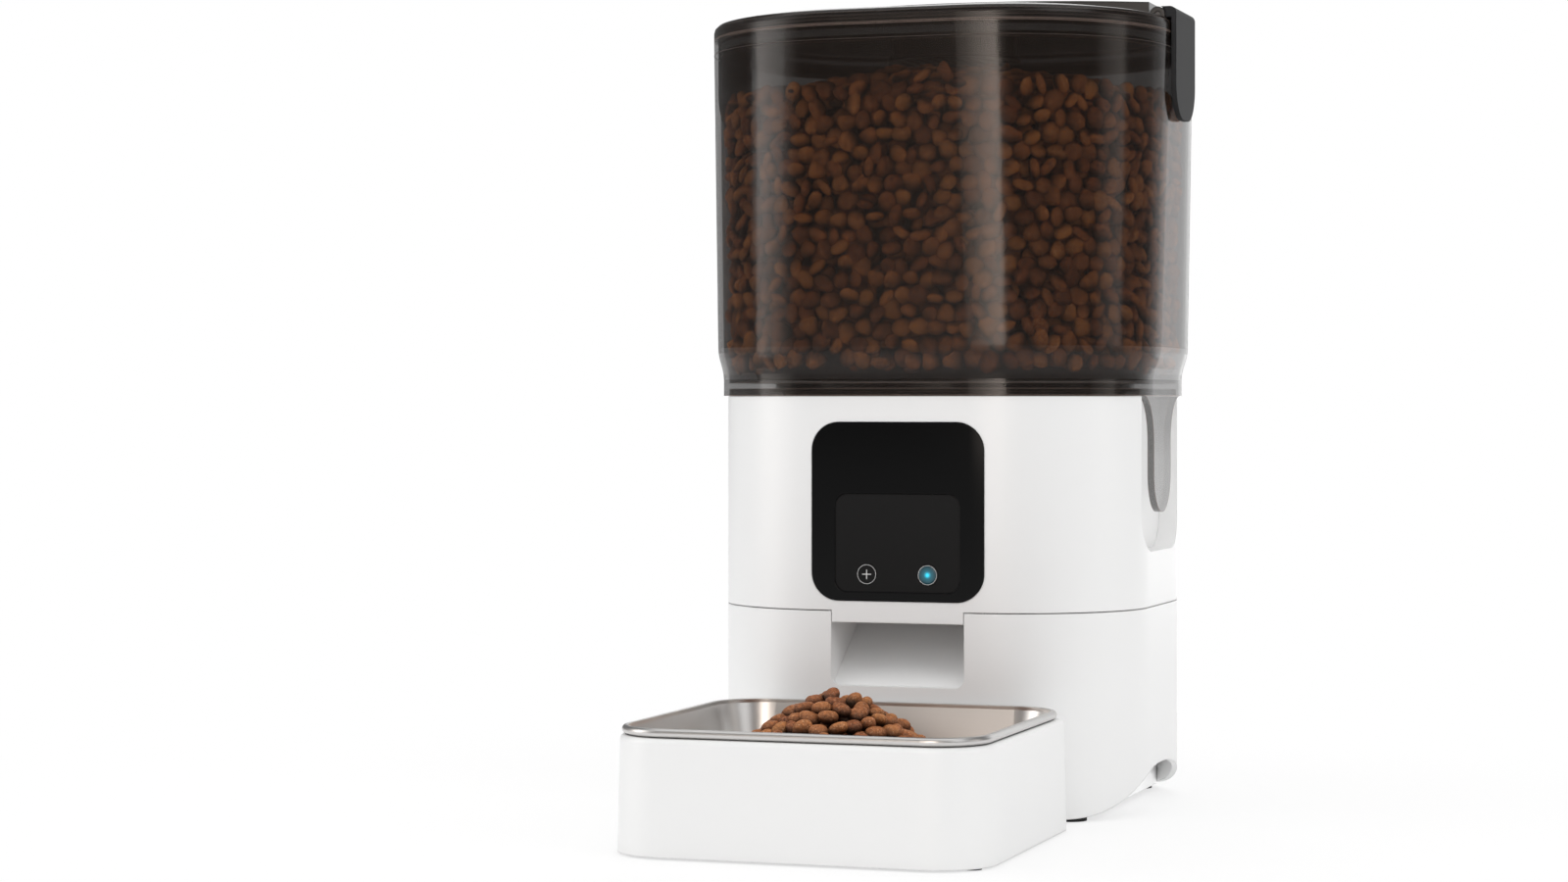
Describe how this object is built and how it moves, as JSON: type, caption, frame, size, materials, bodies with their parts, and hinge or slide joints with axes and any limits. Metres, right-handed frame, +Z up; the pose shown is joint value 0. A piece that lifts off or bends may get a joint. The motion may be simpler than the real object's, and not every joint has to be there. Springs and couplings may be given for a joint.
{
  "type": "automatic pet feeder",
  "caption": "Free-standing automatic feeder: clipped-lid smoke tank, motor-driven portion rotor, front chute, key panel, and a slide-out tray with a lift-out steel bowl.",
  "frame": {"origin": "on the ground under the middle of the whole feeder, tray included", "axes": "+X to the right as seen from the front, +Y from the tray to the back, +Z up"},
  "size_m": [0.2118, 0.3316, 0.3556],
  "materials": {
    "white_plastic": "satin gloss moulded ABS",
    "grey_plastic": "matte moulded ABS",
    "dark_plastic": "matte moulded plastic",
    "black_gloss": "polished black acrylic",
    "key_black": "satin black key",
    "black_plastic": "gloss black moulded ABS",
    "dark_grey_plastic": "fine satin dark grey",
    "smoke_plastic": "clear smoke-tinted AS plastic",
    "smoke_lid": "smoke-tinted AS plastic",
    "bowl_steel": "fine satin with a bright rolled rim",
    "screw_steel": "zinc plated",
    "motor_steel": "nickel plated can",
    "cell_jacket": "printed jacket, left plain",
    "gear_plastic": "natural acetal",
    "rotor_plastic": "soft grey moulding",
    "board": "green solder mask",
    "rubber": "matte rubber",
    "seal_rubber": "soft silicone"
  },
  "bodies": {
    "base": {"lower_housing": "white_plastic", "upper_housing": "white_plastic", "base_plate": "grey_plastic", "rubber_feet": "rubber", "body_screws": "screw_steel", "front_panel": "black_gloss", "key_plate": "dark_plastic", "control_board": "board", "tact_switches": "dark_plastic", "food_chute": "white_plastic", "outlet_sensors": "dark_plastic", "inner_deck": "white_plastic", "gearbox_case": "grey_plastic", "gearbox_cover": "grey_plastic", "gearbox_screws": "screw_steel", "idler_pin": "screw_steel", "motor": "motor_steel", "battery_box": "grey_plastic", "battery_cells": "cell_jacket", "battery_contacts": "screw_steel", "main_board": "board", "power_socket": "dark_plastic", "speaker": "dark_plastic"},
    "drive": {"drive_gear": "gear_plastic", "drive_shaft": "gear_plastic"},
    "idler": {"idler_gear": "gear_plastic"},
    "pinion": {"motor_pinion": "gear_plastic"},
    "tank": {"tank": "smoke_plastic", "tank_funnel": "smoke_plastic", "rotor_floor": "smoke_plastic", "outlet_shield": "smoke_plastic"},
    "rotor": {"rotor": "rotor_plastic", "stirrer": "rotor_plastic"},
    "lid": {"lid": "smoke_lid", "lid_seal": "seal_rubber", "lid_band": "black_plastic", "clip_pins": "screw_steel", "desiccant_tray": "black_plastic", "desiccant_grille": "black_plastic"},
    "clip_right": {"lid_clip_right": "dark_grey_plastic"},
    "clip_left": {"lid_clip_left": "dark_grey_plastic"},
    "tray": {"bowl_tray": "white_plastic", "tray_pads": "rubber"},
    "bowl": {"bowl": "bowl_steel"},
    "feed_key": {"feed_key": "key_black"},
    "setup_key": {"setup_key": "key_black"},
    "battery_door": {"battery_door": "grey_plastic"}
  },
  "joints": [
    {"name": "tank_lift", "type": "slide", "parent": "base", "child": "tank", "axis": [0, 0, 1], "range_m": [0, 0.09]},
    {"name": "lid_lift", "type": "slide", "parent": "tank", "child": "lid", "axis": [0, 0, 1], "range_m": [0, 0.06]},
    {"name": "clip_right_swing", "type": "hinge", "parent": "lid", "child": "clip_right", "pos_m": [0.0975, 0.0702, 0.3472], "axis": [0, -1, 0], "range_deg": [0, 90]},
    {"name": "clip_left_swing", "type": "hinge", "parent": "lid", "child": "clip_left", "pos_m": [-0.0975, 0.0702, 0.3472], "axis": [0, 1, 0], "range_deg": [0, 90]},
    {"name": "drive_spin", "type": "hinge", "parent": "base", "child": "drive", "pos_m": [0, 0.0702, 0.1], "axis": [0, 0, 1], "continuous": true},
    {"name": "idler_spin", "type": "hinge", "parent": "base", "child": "idler", "pos_m": [0, 0.095, 0.092], "axis": [0, 0, 1], "continuous": true},
    {"name": "motor_spin", "type": "hinge", "parent": "base", "child": "pinion", "pos_m": [0, 0.1174, 0.09], "axis": [0, 0, 1], "continuous": true},
    {"name": "rotor_spin", "type": "hinge", "parent": "tank", "child": "rotor", "pos_m": [0, 0.0702, 0.13], "axis": [0, 0, 1], "continuous": true},
    {"name": "tray_slide", "type": "slide", "parent": "base", "child": "tray", "axis": [0, -1, 0], "range_m": [0, 0.09]},
    {"name": "bowl_lift", "type": "slide", "parent": "tray", "child": "bowl", "axis": [0, 0, 1], "range_m": [0, 0.08]},
    {"name": "feed_key_press", "type": "slide", "parent": "base", "child": "feed_key", "axis": [0, 1, 0], "range_m": [0, 0.0006], "stiffness_N_per_m": 400},
    {"name": "setup_key_press", "type": "slide", "parent": "base", "child": "setup_key", "axis": [0, 1, 0], "range_m": [0, 0.0006], "stiffness_N_per_m": 400},
    {"name": "battery_door_drop", "type": "slide", "parent": "base", "child": "battery_door", "axis": [0, 0, -1], "range_m": [0, 0.03]}
  ],
  "couplings": [
    {"joint": "idler_spin", "follows": "drive_spin", "ratio": -3.4286},
    {"joint": "motor_spin", "follows": "drive_spin", "ratio": 10.286},
    {"joint": "rotor_spin", "follows": "drive_spin", "ratio": 1}
  ]
}
